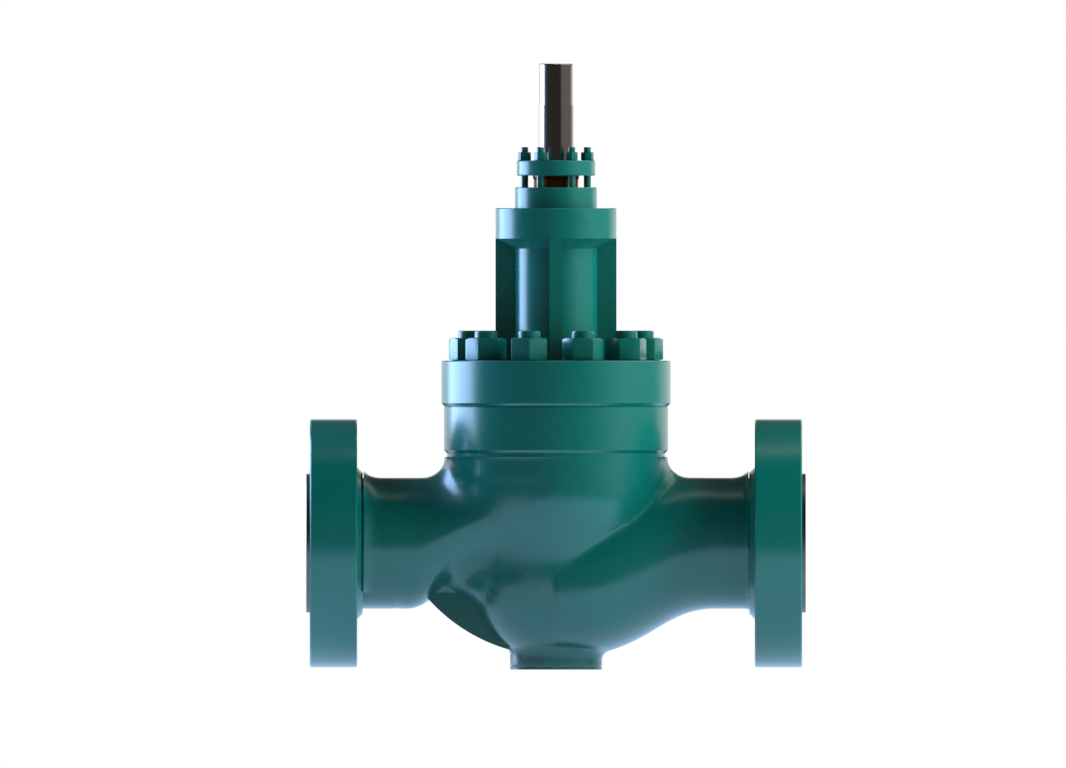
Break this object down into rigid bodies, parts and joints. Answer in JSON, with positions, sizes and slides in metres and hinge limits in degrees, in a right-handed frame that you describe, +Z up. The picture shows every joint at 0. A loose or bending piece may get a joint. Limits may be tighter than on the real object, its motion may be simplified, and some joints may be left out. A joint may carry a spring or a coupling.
{
  "type": "globe control valve",
  "caption": "Flanged globe control valve body with bolted ribbed bonnet, packing gland and sliding stem that lifts a cage-guided balanced plug.",
  "frame": {"origin": "centre of the underside of the bottom boss, on the stem axis", "axes": "+Z up along the stem, +X along the flow from the inlet flange to the outlet flange"},
  "size_m": [0.972, 0.4826, 1.1793],
  "materials": {
    "casting_paint": "teal green semi-gloss enamel over cast steel",
    "fastener_paint": "teal green semi-gloss enamel over alloy steel",
    "bare_face": "machined raised face with fine concentric grooves",
    "stem_steel": "ground and polished stainless steel",
    "trim_steel": "turned stainless steel",
    "bronze": "turned bronze",
    "graphite": "braided graphite packing",
    "gasket": "spiral wound gasket",
    "wiper": "black moulded wiper"
  },
  "bodies": {
    "valve_body": {"body_casting": "casting_paint", "seat_gasket": "gasket", "seat_ring": "trim_steel", "cage": "trim_steel", "bonnet_gasket": "gasket", "bonnet": "casting_paint", "guide_bushing": "bronze", "box_ring": "trim_steel", "lower_packing_ring_1": "graphite", "lower_packing_ring_2": "graphite", "lower_packing_ring_3": "graphite", "lower_packing_ring_4": "graphite", "lantern_ring": "trim_steel", "upper_packing_rings": "graphite", "bonnet_stud_1": "fastener_paint", "bonnet_stud_2": "fastener_paint", "bonnet_stud_3": "fastener_paint", "bonnet_stud_4": "fastener_paint", "bonnet_stud_5": "fastener_paint", "bonnet_stud_6": "fastener_paint", "bonnet_stud_7": "fastener_paint", "bonnet_stud_8": "fastener_paint", "bonnet_stud_9": "fastener_paint", "bonnet_stud_10": "fastener_paint", "bonnet_nut_1": "fastener_paint", "bonnet_nut_2": "fastener_paint", "bonnet_nut_3": "fastener_paint", "bonnet_nut_4": "fastener_paint", "bonnet_nut_5": "fastener_paint", "bonnet_nut_6": "fastener_paint", "bonnet_nut_7": "fastener_paint", "bonnet_nut_8": "fastener_paint", "bonnet_nut_9": "fastener_paint", "bonnet_nut_10": "fastener_paint", "gland_stud_1": "fastener_paint", "gland_stud_2": "fastener_paint", "gland_stud_3": "fastener_paint", "gland_stud_4": "fastener_paint", "gland_stud_5": "fastener_paint", "gland_stud_6": "fastener_paint"},
    "plug_and_stem": {"stem": "stem_steel", "plug": "trim_steel", "plug_pin": "trim_steel", "upper_piston_ring": "graphite", "lower_piston_ring": "graphite"},
    "gland": {"gland_flange": "casting_paint", "packing_follower": "bronze", "stem_wiper": "wiper"},
    "gland_nut_1_body": {"gland_nut_1": "fastener_paint"},
    "gland_nut_2_body": {"gland_nut_2": "fastener_paint"},
    "gland_nut_3_body": {"gland_nut_3": "fastener_paint"},
    "gland_nut_4_body": {"gland_nut_4": "fastener_paint"},
    "gland_nut_5_body": {"gland_nut_5": "fastener_paint"},
    "gland_nut_6_body": {"gland_nut_6": "fastener_paint"}
  },
  "joints": [
    {"name": "stem_travel", "type": "slide", "parent": "valve_body", "child": "plug_and_stem", "axis": [0, 0, 1], "range_m": [0, 0.1016]},
    {"name": "gland_takeup", "type": "slide", "parent": "valve_body", "child": "gland", "axis": [0, 0, 1], "range_m": [-0.008, 0], "deforming": ["upper_packing_rings"]},
    {"name": "gland_nut_1_turn", "type": "hinge", "parent": "gland", "child": "gland_nut_1_body", "pos_m": [0.061, 0, 0.9989], "axis": [0, 0, 1], "range_deg": [-1440, 0]},
    {"name": "gland_nut_2_turn", "type": "hinge", "parent": "gland", "child": "gland_nut_2_body", "pos_m": [0.0305, 0.05283, 0.9989], "axis": [0, 0, 1], "range_deg": [-1440, 0]},
    {"name": "gland_nut_3_turn", "type": "hinge", "parent": "gland", "child": "gland_nut_3_body", "pos_m": [-0.0305, 0.05283, 0.9989], "axis": [0, 0, 1], "range_deg": [-1440, 0]},
    {"name": "gland_nut_4_turn", "type": "hinge", "parent": "gland", "child": "gland_nut_4_body", "pos_m": [-0.061, 0, 0.9989], "axis": [0, 0, 1], "range_deg": [-1440, 0]},
    {"name": "gland_nut_5_turn", "type": "hinge", "parent": "gland", "child": "gland_nut_5_body", "pos_m": [-0.0305, -0.05283, 0.9989], "axis": [0, 0, 1], "range_deg": [-1440, 0]},
    {"name": "gland_nut_6_turn", "type": "hinge", "parent": "gland", "child": "gland_nut_6_body", "pos_m": [0.0305, -0.05283, 0.9989], "axis": [0, 0, 1], "range_deg": [-1440, 0]}
  ],
  "couplings": [
    {"joint": "gland_nut_1_turn", "follows": "gland_takeup", "rad_per_m": 3141.6},
    {"joint": "gland_nut_2_turn", "follows": "gland_takeup", "rad_per_m": 3141.6},
    {"joint": "gland_nut_3_turn", "follows": "gland_takeup", "rad_per_m": 3141.6},
    {"joint": "gland_nut_4_turn", "follows": "gland_takeup", "rad_per_m": 3141.6},
    {"joint": "gland_nut_5_turn", "follows": "gland_takeup", "rad_per_m": 3141.6},
    {"joint": "gland_nut_6_turn", "follows": "gland_takeup", "rad_per_m": 3141.6}
  ]
}
